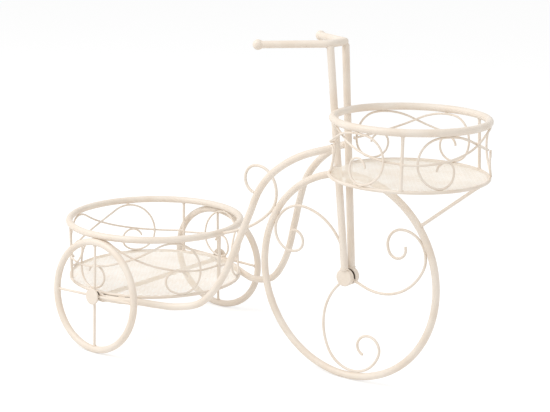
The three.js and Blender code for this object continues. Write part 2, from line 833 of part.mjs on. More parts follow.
function basketStrut() {
  const ringFront = new THREE.Vector3(frontBasket.centre.x + frontRingRadius, 0, frontRingHeight);
  const outward = ringFront.clone().sub(frontAxle).normalize();
  const foot = frontAxle.clone().addScaledVector(outward, frontWheelRadius + tubeRadius + seatGap);
  const head = ringFront.clone().addScaledVector(outward, -frontRingDiameter / 2 - seatGap);
  return bar('basket_strut', foot, head, strutDiameter, wireSides, powderCoat());
}

function centreScroll() {
  const rimFront = rearBasketCentre.x + rearRimRadius + tubeRadius;
  const start = new THREE.Vector2(rimFront + seatGap, rearRimHeight);
  const wheelCentre = new THREE.Vector2(frontAxle.x, frontAxle.z);
  const touching = frontWheelRadius + tubeRadius + seatGap + centreScrollDiameter / 2;
  const wireOf = (scale) => {
    return new BentWire(start, centreScrollHeading, centreScrollBends, middlePlane, scale);
  };
  const wire = wireOf(risingRoot((scale) => touching - nearest(wireOf(scale), wheelCentre), sizeShares));
  return piece('centre_scroll', wireGeometry(wire, centreScrollDiameter), powderCoat());
}

// The whole stand

function buildStand() {
  const stand = new THREE.Group();
  stand.add(frontWheelRim(), ...frontHubPieces());
  wheelScrolls.forEach((scroll, index) => stand.add(scrollSpoke(`scroll_spoke_${index + 1}`, scroll)));
  stand.add(forkLeg('fork_leg_right', -1), forkLeg('fork_leg_left', 1), ...handlebar());
  stand.add(frameTube('frame_tube_right', -1), frameTube('frame_tube_left', 1));
  stand.add(axleRod(), basketStrut(), centreScroll());
  stand.add(basketRim(frontBasket), frontRing(frontBasket), basketFloor(frontBasket, frontFloorBack()));
  stand.add(...frontWall(frontBasket));
  stand.add(basketRim(rearBasket), rearRing(rearBasket), basketFloor(rearBasket, -rearRingRadius));
  stand.add(...rearWall(rearBasket));
  stand.add(rearWheel('right', -1), rearWheel('left', 1));
  return stand;
}

const group = buildStand();
const front = frontBasket.centre.x + frontRimRadius + tubeRadius;
const rear = rearBasketCentre.x - rearRimRadius - tubeRadius;
group.position.x = -(front + rear) / 2;

export default group;
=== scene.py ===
import math
from types import SimpleNamespace

import bpy
import numpy as np
from mathutils import Matrix, Vector


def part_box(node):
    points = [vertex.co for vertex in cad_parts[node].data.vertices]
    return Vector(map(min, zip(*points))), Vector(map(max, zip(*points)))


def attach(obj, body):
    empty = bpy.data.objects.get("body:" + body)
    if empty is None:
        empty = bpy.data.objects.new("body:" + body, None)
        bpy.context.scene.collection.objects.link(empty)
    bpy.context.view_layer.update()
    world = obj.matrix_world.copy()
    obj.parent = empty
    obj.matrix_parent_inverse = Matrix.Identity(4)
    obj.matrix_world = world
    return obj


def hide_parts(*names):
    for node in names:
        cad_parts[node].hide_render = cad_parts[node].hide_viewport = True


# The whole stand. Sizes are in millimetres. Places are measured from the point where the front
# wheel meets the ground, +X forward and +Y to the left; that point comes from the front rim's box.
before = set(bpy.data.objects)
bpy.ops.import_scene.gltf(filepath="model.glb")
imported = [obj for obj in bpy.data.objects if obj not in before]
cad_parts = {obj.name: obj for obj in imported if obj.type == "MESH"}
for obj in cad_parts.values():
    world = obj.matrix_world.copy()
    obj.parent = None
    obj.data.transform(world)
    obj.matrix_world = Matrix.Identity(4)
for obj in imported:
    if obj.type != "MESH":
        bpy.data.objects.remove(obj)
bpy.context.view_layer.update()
MM = 0.001
wheel_box = np.array(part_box("front_wheel_rim")) / MM
contact = np.array([wheel_box[:, 0].mean(), 0, 0])

# ----------------------------------------------------------
# Front wheel rim. One steel tube rolled to a ring, its two ends butted and welded, then powder
# coated cream with the rest of the stand.
tube_radius = (wheel_box[1, 1] - wheel_box[0, 1]) / 2
wheel_radius = (wheel_box[1, 0] - wheel_box[0, 0]) / 2 - tube_radius
axle_height = wheel_box[:, 2].mean()
wheel_seam = math.radians(205)
wheel_points = 420
tube_sides = 32

cream = (0.835, 0.75, 0.655)
cream_deep = (0.795, 0.69, 0.58)
chip_brown = (0.36, 0.25, 0.16)


def new_finish(name):
    """A material, its node tree and its surface shader"""
    material = bpy.data.materials.new(name)
    material.use_nodes = True
    return material, material.node_tree, material.node_tree.nodes["Principled BSDF"]


def noise(tree, scale, detail):
    """Noise of the place on the piece"""
    place = tree.nodes.new("ShaderNodeTexCoord")
    node = tree.nodes.new("ShaderNodeTexNoise")
    node.inputs["Scale"].default_value = scale
    node.inputs["Detail"].default_value = detail
    tree.links.new(place.outputs["Object"], node.inputs["Vector"])
    return node.outputs["Fac"]


def ranged(tree, value, low, high, to_low, to_high):
    """A value's place between low and high, carried over to between to_low and to_high"""
    node = tree.nodes.new("ShaderNodeMapRange")
    limits = {"From Min": low, "From Max": high, "To Min": to_low, "To Max": to_high}
    for socket, number in limits.items():
        node.inputs[socket].default_value = number
    tree.links.new(value, node.inputs["Value"])
    return node.outputs["Result"]


def blend(tree, factor, first, second):
    """Two colours mixed by a factor. Each is written out or comes from another node."""
    node = tree.nodes.new("ShaderNodeMix")
    node.data_type = "RGBA"
    tree.links.new(factor, node.inputs[0])
    for socket, colour in zip((6, 7), (first, second)):
        if isinstance(colour, tuple):
            node.inputs[socket].default_value = (*colour, 1)
        else:
            tree.links.new(colour, node.inputs[socket])
    return node.outputs[2]


def bumped(tree, value, height, strength, normal=None):
    """A normal tilted by a value's slope, height metres high, on top of another normal"""
    node = tree.nodes.new("ShaderNodeBump")
    node.inputs["Distance"].default_value = height
    node.inputs["Strength"].default_value = strength
    tree.links.new(value, node.inputs["Height"])
    if normal is not None:
        tree.links.new(normal, node.inputs["Normal"])
    return node.outputs["Normal"]


def powder_coat(name, pale, deep, rough=(0.40, 0.56), chips=0.755):
    """A baked powder coat. A slow cloud of noise mixes the pale and the deep shade, a finer one the
    roughness; two heights, slow swells and orange peel, make the bump; the few places where a third
    noise passes the chips limit show the brown underneath."""
    cloud_scale = 22
    chip_scale = 140
    sheen_scale = 60
    swells = (170, 0.0007, 0.35)
    orange_peel = (1500, 0.00012, 0.5)
    material, tree, shader = new_finish(name)
    shader.inputs["IOR"].default_value = 1.5
    shader.inputs["Coat Weight"].default_value = 0.12
    shader.inputs["Coat Roughness"].default_value = 0.25
    cloud = ranged(tree, noise(tree, cloud_scale, 3), 0.38, 0.64, 0, 1)
    chipped = ranged(tree, noise(tree, chip_scale, 5), chips, chips + 0.03, 0, 0.8)
    colour = blend(tree, chipped, blend(tree, cloud, pale, deep), chip_brown)
    tree.links.new(colour, shader.inputs["Base Color"])
    sheen = ranged(tree, noise(tree, sheen_scale, 2), 0.3, 0.7, *rough)
    tree.links.new(sheen, shader.inputs["Roughness"])
    normal = None
    for scale, height, strength in (swells, orange_peel):
        normal = bumped(tree, noise(tree, scale, 2), height, strength, normal)
    tree.links.new(normal, shader.inputs["Normal"])
    return material


tube_coat = powder_coat("cream_powder_coat", cream, cream_deep)


def skin(rows, closed=False):
    """One closed skin over rows of points, rows[i, j]. Each point is joined to the next one round its
    row and to its neighbour in the next row. The first and last rows either join each other or
    are each closed by a point in their middle. A skin is its points, its faces of four points
    and its faces of three."""
    count, around = rows.shape[:2]
    i = np.arange(count if closed else count - 1)[:, None]
    j = np.arange(around)[None, :]
    ahead = (i + 1) % count
    beside = (j + 1) % around
    corners = (i * around + j, i * around + beside, ahead * around + beside, ahead * around + j)
    fours = np.stack(corners, -1).reshape(-1, 4)
    points = rows.reshape(-1, 3)
    if closed:
        return points, fours, np.zeros((0, 3), int)
    points = np.vstack([points, rows[0].mean(0), rows[-1].mean(0)])
    turn = np.arange(around)
    next_turn = (turn + 1) % around
    last_row = (count - 1) * around
    first_pole = np.full(around, count * around)
    first_end = np.stack([first_pole, next_turn, turn], -1)
    last_end = np.stack([first_pole + 1, last_row + turn, last_row + next_turn], -1)
    return points, fours, np.vstack([first_end, last_end])


def carried(path, across, radius, sides, closed=False, nose=0.0):
    """A round section carried along a path: at each point a circle stands square to the path, turned
    so that its first point lies towards across. radius is one value or one for each point. An open
    path ends in a rounded nose, a quarter circle that runs out along the path."""
    if closed:
        along = np.roll(path, -1, 0) - np.roll(path, 1, 0)
    else:
        along = np.gradient(path, axis=0)
    along = along / np.linalg.norm(along, axis=1)[:, None]
    radius = np.broadcast_to(np.asarray(radius, float), len(path))
    across = np.broadcast_to(np.asarray(across, float), path.shape)
    if not closed:
        turn = np.radians([90, 72, 54, 36, 18])
        out = nose * np.sin(turn)[:, None]
        less = nose * (1 - np.cos(turn))
        path = np.vstack([path[0] - along[0] * out, path, path[-1] + along[-1] * out[::-1]])
        radius = np.hstack([radius[0] - less, radius, radius[-1] - less[::-1]])
        along = np.vstack([np.repeat(along[:1], 5, 0), along, np.repeat(along[-1:], 5, 0)])
        across = np.vstack([np.repeat(across[:1], 5, 0), across, np.repeat(across[-1:], 5, 0)])
    first = across - (across * along).sum(1)[:, None] * along
    first = first / np.linalg.norm(first, axis=1)[:, None]
    second = np.cross(along, first)
    angle = np.linspace(0, 2 * np.pi, sides, endpoint=False)[None, :, None]
    rim = np.cos(angle) * first[:, None] + np.sin(angle) * second[:, None]
    return skin(path[:, None] + radius[:, None, None] * rim, closed)


def piece(name, shape, material, node=None, body="root", edge=0.0):
    """Makes a Blender object of a skin, hangs it on the empty of the body it rides on and hides the
    solid it stands for. edge rounds its sharp edges."""
    points, fours, threes = shape
    mesh = bpy.data.meshes.new(name)
    mesh.from_pydata(((points + contact) * MM).tolist(), [], fours.tolist() + threes.tolist())
    mesh.shade_smooth()
    mesh.set_sharp_from_angle(angle=math.radians(35))
    mesh.materials.append(material)
    made = bpy.data.objects.new(name, mesh)
    bpy.context.scene.collection.objects.link(made)
    if edge:
        bevel = made.modifiers.new("rounded_edges", "BEVEL")
        bevel.width = edge * MM
        bevel.segments = 3
        bevel.limit_method = "ANGLE"
        bevel.angle_limit = math.radians(40)
    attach(made, body)
    if node:
        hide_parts(node)


def coated(name, shape, body="root", edge=0.0):
    """A cream piece for the solid of that name"""
    piece(f"{name}_coated", shape, tube_coat, name, body, edge=edge)


def upright_ring(centre, radius, count):
    """Points round a circle in the middle plane: its centre plus radius times cosine and sine"""
    angle = np.linspace(0, 2 * np.pi, count, endpoint=False)
    across = centre[0] + radius * np.cos(angle)
    height = centre[1] + radius * np.sin(angle)
    return np.stack([across, 0 * angle, height], -1)


def seamed(radius, seam, count):
    """The radius of a butted ring: plain, with a low uneven weld ridge about 3 mm wide at the seam"""
    angle = np.linspace(0, 2 * np.pi, count, endpoint=False)
    away = np.abs((angle - seam + np.pi) % (2 * np.pi) - np.pi) * count / (2 * np.pi)
    return radius + 0.35 * np.exp(-away ** 2 / 1.5)


wheel_path = upright_ring((0, axle_height), wheel_radius, wheel_points)
wheel_tube = seamed(tube_radius, wheel_seam, wheel_points)
wheel_rim = carried(wheel_path, (0, 1, 0), wheel_tube, tube_sides, closed=True)
coated("front_wheel_rim", wheel_rim)

# ----------------------------------------------------------
# Front wheel scrolls. Three lengths of 4.5 mm wire, each bent to a sickle and a curl, welded to
# the hub sleeve at one end and to the inside of the rim where it touches.
spoke_radius = 2.25
wire_sides = 18
seat_gap = 0.3
hub = np.array([2, axle_height])
sleeve_radius = 7
spoke_scrolls = [
    (225.1, [(19, 0), (97, 71.7), (54.9, 134.7), (21.9, 175.5), (15, 96.9)]),
    (340, [(26.4, 0), (89.4, 86.7), (42.5, 121.6), (27.2, 110.2), (16.5, 168.4)]),
    (103.3, [(22.1, 0), (96.7, 69.9), (54.8, 73.2), (33.4, 137.9), (17.5, 172.6)]),
]
spoke_rim_weld = (8, 1.9, 1.5)
spoke_root_weld = (3.0, 2.4, 2.7)


def bent_line(start, heading, bends, size=1, step=1.6):
    """A line bent in one plane, bend after bend. A bend is a radius and a turn in degrees, or a
    length and no turn. An arc's points are its centre plus its radius times the cosine and sine
    of an angle that runs from the bend's start to its end."""
    at = np.array(start, float)
    angle = math.radians(heading)
    stretches = []
    for reach, degrees in bends:
        reach = reach * size
        turn = math.radians(degrees)
        length = reach * abs(turn) if degrees else reach
        share = np.linspace(0, 1, math.ceil(length / step) + 2)[:, None]
        if degrees:
            side = math.copysign(math.pi / 2, turn)
            centre = at + reach * np.array([math.cos(angle + side), math.sin(angle + side)])
            aim = angle - side + turn * share
            points = centre + reach * np.hstack([np.cos(aim), np.sin(aim)])
        else:
            points = at + reach * share * np.array([math.cos(angle), math.sin(angle)])
        stretches.append(points[1:] if stretches else points)
        at = points[-1]
        angle = angle + turn
    return np.vstack(stretches)


def fitted(line_of, excess, low=0.3, high=2.0):
    """The line of the size at which its excess, which rises with its size, is nothing"""
    for _ in range(32):
        middle = (low + high) / 2
        low, high = (middle, high) if excess(line_of(middle)) < 0 else (low, middle)
    return line_of(low)


def in_middle_plane(line):
    """Points of the middle plane from pairs of a place forward and a height"""
    return np.stack([line[:, 0], 0 * line[:, 0], line[:, 1]], -1)


def bead(centre, along, across, size, seed):
    """A weld bead: a ball drawn out along one direction and flattened. size is half its length, its
    width and its height. Its radius swells and dips by a few sine waves of its two angles, with
    phases from the seed."""
    phase = np.random.default_rng(seed).uniform(0, 2 * np.pi, 4)
    polar = np.linspace(0.12, np.pi - 0.12, 11)[:, None]
    round_it = np.linspace(0, 2 * np.pi, 16, endpoint=False)[None, :]
    ridges = 0.10 * np.sin(3 * round_it + phase[0]) * np.sin(polar)
    ripples = 0.08 * np.sin(5 * polar + phase[1])
    twist = 0.05 * np.sin(2 * round_it + 4 * polar + phase[2])
    swell = 1 + ridges + ripples + twist
    along = np.array(along, float) / np.linalg.norm(along)
    across = np.array(across, float) - np.dot(across, along) * along
    across = across / np.linalg.norm(across)
    third = np.cross(along, across)
    half_length, half_width, half_height = size
    back = half_length * np.cos(polar) * swell
    wide = half_width * np.sin(polar) * np.cos(round_it) * swell
    high = half_height * np.sin(polar) * np.sin(round_it) * swell
    rows = wide[..., None] * across + high[..., None] * third - back[..., None] * along
    return skin(np.array(centre, float) + rows)


def joined(skins):
    """Several skins as one: the faces of each count on from the points of those before it"""
    points, fours, threes = zip(*skins)
    before = np.cumsum([0] + [len(some) for some in points[:-1]])
    fours = [some + first for some, first in zip(fours, before)]
    threes = [some + first for some, first in zip(threes, before)]
    return np.vstack(points), np.vstack(fours), np.vstack(threes)


wheel_beads = []
for number, (angle, bends) in enumerate(spoke_scrolls, 1):
    aim = np.array([math.cos(math.radians(angle)), math.sin(math.radians(angle))])
    root = hub + (sleeve_radius - 1) * aim
    start = hub + (sleeve_radius + seat_gap) * aim
    reach = wheel_radius - tube_radius - seat_gap - spoke_radius
    centre = np.array([0, axle_height])
    line = fitted(lambda size: bent_line(start, angle, bends, size),
                  lambda points: np.linalg.norm(points - centre, axis=1).max() - reach)
    path = in_middle_plane(np.vstack([root, line]))
    spoke = carried(path, (0, 1, 0), spoke_radius, wire_sides, nose=0.9)
    coated(f"scroll_spoke_{number}", spoke)
    touch = np.linalg.norm(line - centre, axis=1).argmax()
    outward = (line[touch] - centre) / np.linalg.norm(line[touch] - centre)
    seat = in_middle_plane((line[touch] + outward * spoke_radius)[None])[0]
    forward = (-outward[1], 0, outward[0])
    wheel_beads.append(bead(seat, forward, (0, 1, 0), spoke_rim_weld, number))
    foot = in_middle_plane(start[None])[0]
    wheel_beads.append(bead(foot, (aim[0], 0, aim[1]), (0, 1, 0), spoke_root_weld, 10 + number))
piece("front_wheel_welds", joined(wheel_beads), tube_coat)

# ----------------------------------------------------------
# Front hub. A sleeve that the spokes are welded to, a plated pin through it, and a steel disc on
# the foot of each fork leg with a blind hole that the pin's end sits in.
hub_place = np.array([hub[0], 0, hub[1]])
pin_radius = 3
pin_bore = 3.3
sleeve_half = 2.5
disc_radius = 14.5
disc_thickness = 10.2
disc_hole = 4.8
# Size of the painted shade rings on the discs' inner faces
painted_shade_outer = (12.6, 12.8)
painted_shade_depth = (-0.12, 0.05)
plated_grey = (0.30, 0.27, 0.23)
plated_dark = (0.09, 0.07, 0.055)
turned_sides = 64


def turned(profile, centre, axis):
    """A turned shape: a closed profile of radius and place along the axis is swung once round the
    axis. A point on the axis becomes a pole."""
    axis = np.array(axis, float) / np.linalg.norm(axis)
    first = np.cross(axis, (0.3, 0.2, 0.93))
    first = first / np.linalg.norm(first)
    second = np.cross(axis, first)
    angle = np.linspace(0, 2 * np.pi, turned_sides, endpoint=False)[None, :, None]
    around = np.cos(angle) * first + np.sin(angle) * second
    profile = np.array(profile, float)
    hollow = bool((profile[:, 0] > 0).all())
    inner = profile if hollow else profile[1:-1]
    rows = centre + inner[:, :1, None] * around + inner[:, 1:, None] * axis
    points, fours, threes = skin(rows, closed=hollow)
    if not hollow:
        points[-2:] = centre + profile[[0, -1], 1][:, None] * axis
    return points, fours, threes


def plated_steel(name):
    """Zinc plated steel, dull and a little stained: noise mixes grey and brown, sets the gloss and
    makes the bump"""
    material, tree, shader = new_finish(name)
    shader.inputs["Metallic"].default_value = 0.85
    stain = noise(tree, 420, 4)
    tree.links.new(blend(tree, stain, plated_grey, plated_dark), shader.inputs["Base Color"])
    tree.links.new(ranged(tree, stain, 0, 1, 0.3, 0.6), shader.inputs["Roughness"])
    tree.links.new(bumped(tree, stain, 0.0001, 0.4), shader.inputs["Normal"])
    return material


plated = plated_steel("zinc_plated")
# A near black-brown copy of the powder coat: painted shade, laid in the dark gaps and crevices between
# parts.
painted_shade_coat = powder_coat("painted_shade_powder_coat", (0.12, 0.085, 0.06), (0.05, 0.035, 0.025), (0.3, 0.5))
sleeve_profile = [(pin_bore, -sleeve_half), (sleeve_radius, -sleeve_half),
                  (sleeve_radius, sleeve_half), (pin_bore, sleeve_half)]
hub_sleeve = turned(sleeve_profile, hub_place, (0, 1, 0))
# The sleeve wears the near black-brown coat: painted shade for the dark gap between the two discs.
piece("front_hub_sleeve_coated", hub_sleeve, painted_shade_coat, "front_hub_sleeve", edge=0.4)
pin_half = sleeve_half + disc_hole
pin_profile = [(0, -pin_half), (pin_radius, -pin_half), (pin_radius, pin_half), (0, pin_half)]
axle_pin = turned(pin_profile, hub_place, (0, 1, 0))
piece("front_axle_pin_plated", axle_pin, plated, "front_axle_pin", edge=0.3)
disc_profile = [(0, disc_hole), (pin_bore, disc_hole), (pin_bore, 0), (disc_radius, 0),
                (disc_radius, disc_thickness - 0.4), (disc_radius * 0.55, disc_thickness - 0.1),
                (0, disc_thickness)]
# Thin near black-brown rings on the discs' inner faces round the sleeve: painted shade of the narrow
# gap between the discs.
painted_shade_profile = [(sleeve_radius - 1, painted_shade_depth[0]), (painted_shade_outer[0], painted_shade_depth[0]),
                  (painted_shade_outer[1], painted_shade_depth[1]), (sleeve_radius - 1, painted_shade_depth[1])]
for hand, side in (("right", -1), ("left", 1)):
    inner_face = hub_place + np.array([0, side * (sleeve_half + seat_gap), 0])
    disc = turned(disc_profile, inner_face, (0, side, 0))
    coated(f"hub_disc_{hand}", disc, edge=1.1)
    piece(f"hub_painted_shade_{hand}", turned(painted_shade_profile, inner_face, (0, side, 0)), painted_shade_coat)

# ----------------------------------------------------------
# Fork. Two straight lengths of the same tube, welded on top of the hub discs, leaning back and
# opening out to the handlebar that lies across their tops.
handlebar_height = 557
fork_foot_height = axle_height + disc_radius + seat_gap
fork_top_height = handlebar_height - tube_radius - seat_gap
fork_foot_width = 10
fork_top_width = 21.4
fork_setback = 30
fork_foot_weld = (3.4, 4.6, 1.3)
fork_top_weld = (4.4, 1.2, 1.3)
fork_back_weld = (3.4, 1.2, 1.3)


def fork_point(side, height):
    """The middle of a fork leg at a height: it leans back and out by the same share of its length"""
    share = (height - fork_foot_height) / (fork_top_height - fork_foot_height)
    width = fork_foot_width + (fork_top_width - fork_foot_width) * share
    return np.array([hub[0] - fork_setback * share, side * width, height])


fork_beads = []
for hand, side in (("right", -1), ("left", 1)):
    foot = fork_point(side, fork_foot_height - 0.6)
    top = fork_point(side, fork_top_height + 0.8)
    path = foot + np.linspace(0, 1, 60)[:, None] * (top - foot)
    leg = carried(path, (0, 1, 0), tube_radius, tube_sides, nose=2.6)
    coated(f"fork_leg_{hand}", leg)
    foot = fork_point(side, fork_foot_height)
    for ahead, seed in ((-1, 20), (1, 24)):
        seat = foot + (4.5 * ahead, 0, -0.6)
        fork_beads.append(bead(seat, (0.8, 0, 0.3 * ahead), (0, 1, 0), fork_foot_weld, seed + side))
    top = fork_point(side, fork_top_height)
    fork_beads.append(bead(top + (4.4, 0, 0.5), (0, 1, 0), (1, 0, 0), fork_top_weld, 28 + side))
    behind = top + (-4.6, side * 1.5, 0.5)
    fork_beads.append(bead(behind, (0, 1, 0), (1, 0, 0), fork_back_weld, 32 + side))
piece("fork_welds", joined(fork_beads), tube_coat)

# ----------------------------------------------------------
# Handlebar. One tube, flat across the fork and bent back at both corners into straight arms, with
# a pressed steel ball welded over each open end.
handlebar_back = 0.5
handlebar_flat = 30
handlebar_corner = 14
handlebar_splay = 33.6
handlebar_arm = 100
handlebar_droop = math.radians(2.05)
ball_radius = 8.5
neck_weld = (0.55, 0.8)

corner = (handlebar_corner, 90 - handlebar_splay)
half_line = bent_line((0, 0), 90, [(handlebar_flat / 2, 0), corner, (handlebar_arm, 0)])
handlebar_line = np.vstack([half_line[::-1] * (1, -1), half_line[1:]])
handlebar_path = np.stack([
    handlebar_line[:, 0] * math.cos(handlebar_droop), handlebar_line[:, 1],
    handlebar_line[:, 0] * math.sin(handlebar_droop)], -1)
handlebar_path += (fork_point(1, fork_top_height)[0] - handlebar_back, 0, handlebar_height)
handlebar = carried(handlebar_path, (0, 0, 1), tube_radius, tube_sides, nose=0.3)
coated("handlebar", handlebar)

ball_seat = math.sqrt(ball_radius ** 2 - tube_radius ** 2)
ball_turn = np.linspace(-math.acos(tube_radius / ball_radius), math.pi / 2, 26)
ball_bow = ball_radius * np.stack([np.cos(ball_turn), np.sin(ball_turn)], -1)
ball_profile = np.vstack([(0, -ball_seat), ball_bow[:-1], (0, ball_radius)])
neck_turn = np.linspace(0, 2 * np.pi, 12, endpoint=False)
neck_profile = np.stack([
    tube_radius - 0.1 + neck_weld[0] * np.cos(neck_turn), neck_weld[1] * np.sin(neck_turn)], -1)
for hand, end, inside in (("right", 0, 1), ("left", -1, -2)):
    outward = handlebar_path[end] - handlebar_path[inside]
    outward = outward / np.linalg.norm(outward)
    middle = handlebar_path[end] + outward * (ball_seat + seat_gap)
    ball = turned(ball_profile, middle, outward)
    neck = turned(neck_profile, handlebar_path[end] + outward * 0.1, outward)
    coated(f"grip_ball_{hand}", joined([ball, neck]))

# ----------------------------------------------------------
# Rear wheels. Rim, cross and cap turn together on a plated pin that is fixed in the frame tube's
# lug. The rim is the same tube as the rest, the cross four wires welded to a short sleeve and to
# the inside of the rim, and the cap a turned disc that hides the clip on the pin's end.
rear_wheel_radius = 94.5
rear_camber = math.radians(4.1)
rear_toe = math.radians(1.8)
rear_axle = (-412, 167.5, (rear_wheel_radius + tube_radius) * math.cos(rear_camber))
cross_turn = math.radians(2.5)
cross_radius = 2.25
cross_hub = (7, -2.6, 3.9)
cap_inside = 4.2
cap_radius = 14.25
cap_thickness = 4
cap_recess = (6, 2.8)
spacer = (6, -4.6, -2.9)
pin_head = (4.5, -11, -9.2)
pin_end = 6.7
clip_groove = (2.2, 4.75, 5.85)
clip_place = (4.9, 5.7)
clip_half_mouth = math.radians(30)
clip_radii = (2.5, 5)
rear_wheel_seam = math.radians(-62)
rear_wheel_points = 280
cross_root_weld = (1.3, 2.9, 2.8)
cross_rim_weld = (3.9, 3.3, 1.0)


def wheel_place(side):
    """Turns and moves a wheel's own points, where +Y is the axle outward, to their place"""
    turn = Matrix.Rotation(side * rear_toe, 3, "Z") @ Matrix.Rotation(side * rear_camber, 3, "X")
    if side < 0:
        turn = turn @ Matrix.Rotation(math.pi, 3, "Z")
    turn = np.array(turn)
    middle = (rear_axle[0], side * rear_axle[1], rear_axle[2])
    return lambda points: np.asarray(points) @ turn.T + middle


def placed(shape, place):
    """A skin whose points are moved to a wheel's place"""
    return place(shape[0]), *shape[1:]


def turned_along(profile):
    """A turned shape round a wheel's own axle"""
    return turned(profile, np.zeros(3), (0, 1, 0))


for hand, side in (("right", -1), ("left", 1)):
    name = f"rear_wheel_{hand}"
    place = wheel_place(side)
    path = upright_ring((0, 0), rear_wheel_radius, rear_wheel_points)
    radii = seamed(tube_radius, rear_wheel_seam, rear_wheel_points)
    rim = carried(path, (0, 1, 0), radii, tube_sides, closed=True)
    coated(f"{name}_rim", placed(rim, place), name)
    hub_outer, hub_low, hub_high = cross_hub
    sleeve = [(pin_bore, hub_low), (hub_outer, hub_low), (hub_outer, hub_high), (pin_bore, hub_high)]
    cross = [turned_along(sleeve)]
    reach = rear_wheel_radius - tube_radius
    for quarter in range(4):
        aim = cross_turn + quarter * math.pi / 2
        out = np.array([math.sin(aim), 0, math.cos(aim)])
        across = np.array([math.cos(aim), 0, -math.sin(aim)])
        path = np.linspace(5.2, reach - 0.4, 24)[:, None] * out
        cross.append(carried(path, (0, 1, 0), cross_radius, wire_sides, nose=0.6))
        cross.append(bead(out * (hub_outer + 0.3), out, across, cross_root_weld, 40 + quarter))
        cross.append(bead(out * (reach - 0.5), across, (0, 1, 0), cross_rim_weld, 50 + quarter))
    coated(f"{name}_cross", placed(joined(cross), place), name)
    cap_outside = cap_inside + cap_thickness
    hole, depth = cap_recess
    cap = [(0, cap_inside + depth), (hole, cap_inside + depth), (hole, cap_inside),
           (cap_radius, cap_inside), (cap_radius, cap_outside - 0.3),
           (cap_radius * 0.6, cap_outside - 0.1), (0, cap_outside)]
    coated(f"{name}_cap", placed(turned_along(cap), place), name, edge=0.8)
    head, head_low, head_high = pin_head
    groove, groove_low, groove_high = clip_groove
    pin = [(0, head_low), (head, head_low), (head, head_high), (pin_radius, head_high),
           (pin_radius, groove_low), (groove, groove_low), (groove, groove_high),
           (pin_radius, groove_high), (pin_radius, pin_end), (0, pin_end)]
    pin = placed(turned_along(pin), place)
    piece(f"{name}_pin_plated", pin, plated, f"{name}_pin", edge=0.25)
    # A thin near black-brown ring on the lug's outer face round the pin: painted shade of the gap
    # between the wheel and the lug.
    painted_shade = [(pin_bore, -5.1), (7.6, -5.1), (7.7, -4.75), (pin_bore, -4.75)]
    piece(f"{name}_grease", placed(turned_along(painted_shade), place), painted_shade_coat)
    wide, low, high = spacer
    ring = placed(turned_along([(pin_bore, low), (wide, low), (wide, high), (pin_bore, high)]), place)
    piece(f"{name}_spacer_plated", ring, plated, f"{name}_spacer",
          edge=0.25)
    aim = np.linspace(clip_half_mouth, 2 * math.pi - clip_half_mouth, 40)[:, None]
    bore, rim = clip_radii
    near, far = clip_place
    corner_radius = np.array([bore, rim, rim, bore])
    corner_along = np.array([far, far, near, near])
    rows = np.stack([
        corner_radius * np.cos(aim), corner_along + 0 * aim, -corner_radius * np.sin(aim)], -1)
    clip = placed(skin(rows), place)
    piece(f"{name}_clip_plated", clip, plated, f"{name}_clip", edge=0.1)

# ----------------------------------------------------------
# Frame tubes. Each is one bent tube, coped and welded to its fork leg, that runs back beside the
# front wheel and along the rear basket's ring, where it is welded, to a flat steel lug with the
# hole for the wheel's pin. The crevices of its joints carry painted shade: near black-brown wire and
# beads.
frame_joint_height = 392
frame_beside_wheel = [(-55, 47, 379), (-82, 58, 364), (-110, 63.5, 341.5), (-133, 66, 312),
                      (-149, 70, 271), (-165, 78, 225), (-193, 90, 153)]
frame_before_basket = [(192.5, 100, 108.5), (144.5, 110, 94), (111.5, 122.5, 94)]
frame_seats = np.radians([59, 70, 81])
rear_centre = np.array([-421.5, 0])
rear_ring_height = 103.5
rear_ring_radius = 153
ring_wire = 2.75
frame_below_ring = 7
frame_reach = tube_radius + ring_wire + seat_gap
frame_along = rear_ring_radius + math.sqrt(frame_reach ** 2 - frame_below_ring ** 2)
lug_low = -8.9
lug_high = -4.9
lug_radius = 8
frame_joint_weld = (4.4, 1.7, 1.3)
frame_ring_weld = (7, 2.0, 1.6)
frame_joint_painted_shade = (1.8, 1.0, 0.9)
fork_top_painted_shade = (1.5, 0.9, 1.0)
ring_painted_shade_radius = 155.4


def smooth_way(points, steps):
    """A centripetal Catmull-Rom line through points. Between two of them it is a cubic whose end
    slopes come from the points before and after, weighed by the square roots of their distances."""
    points = np.vstack([2 * points[0] - points[1], points, 2 * points[-1] - points[-2]])
    gap = np.sqrt(np.linalg.norm(np.diff(points, axis=0), axis=1))[:, None]
    before, start, end, after = points[:-3], points[1:-2], points[2:-1], points[3:]
    gap_0 = gap[:-2]
    gap_1 = gap[1:-1]
    gap_2 = gap[2:]
    slope = (start - before) / gap_0 - (end - before) / (gap_0 + gap_1) + (end - start) / gap_1
    slope_on = (end - start) / gap_1 - (after - start) / (gap_1 + gap_2) + (after - end) / gap_2
    slope = slope * gap_1
    slope_on = slope_on * gap_1
    share = np.linspace(0, 1, steps, endpoint=False)[:, None, None]
    second = -3 * start + 3 * end - 2 * slope - slope_on
    third = 2 * start - 2 * end + slope + slope_on
    way = start + slope * share + second * share ** 2 + third * share ** 3
    return np.vstack([way.transpose(1, 0, 2).reshape(-1, 3), end[-1:]])


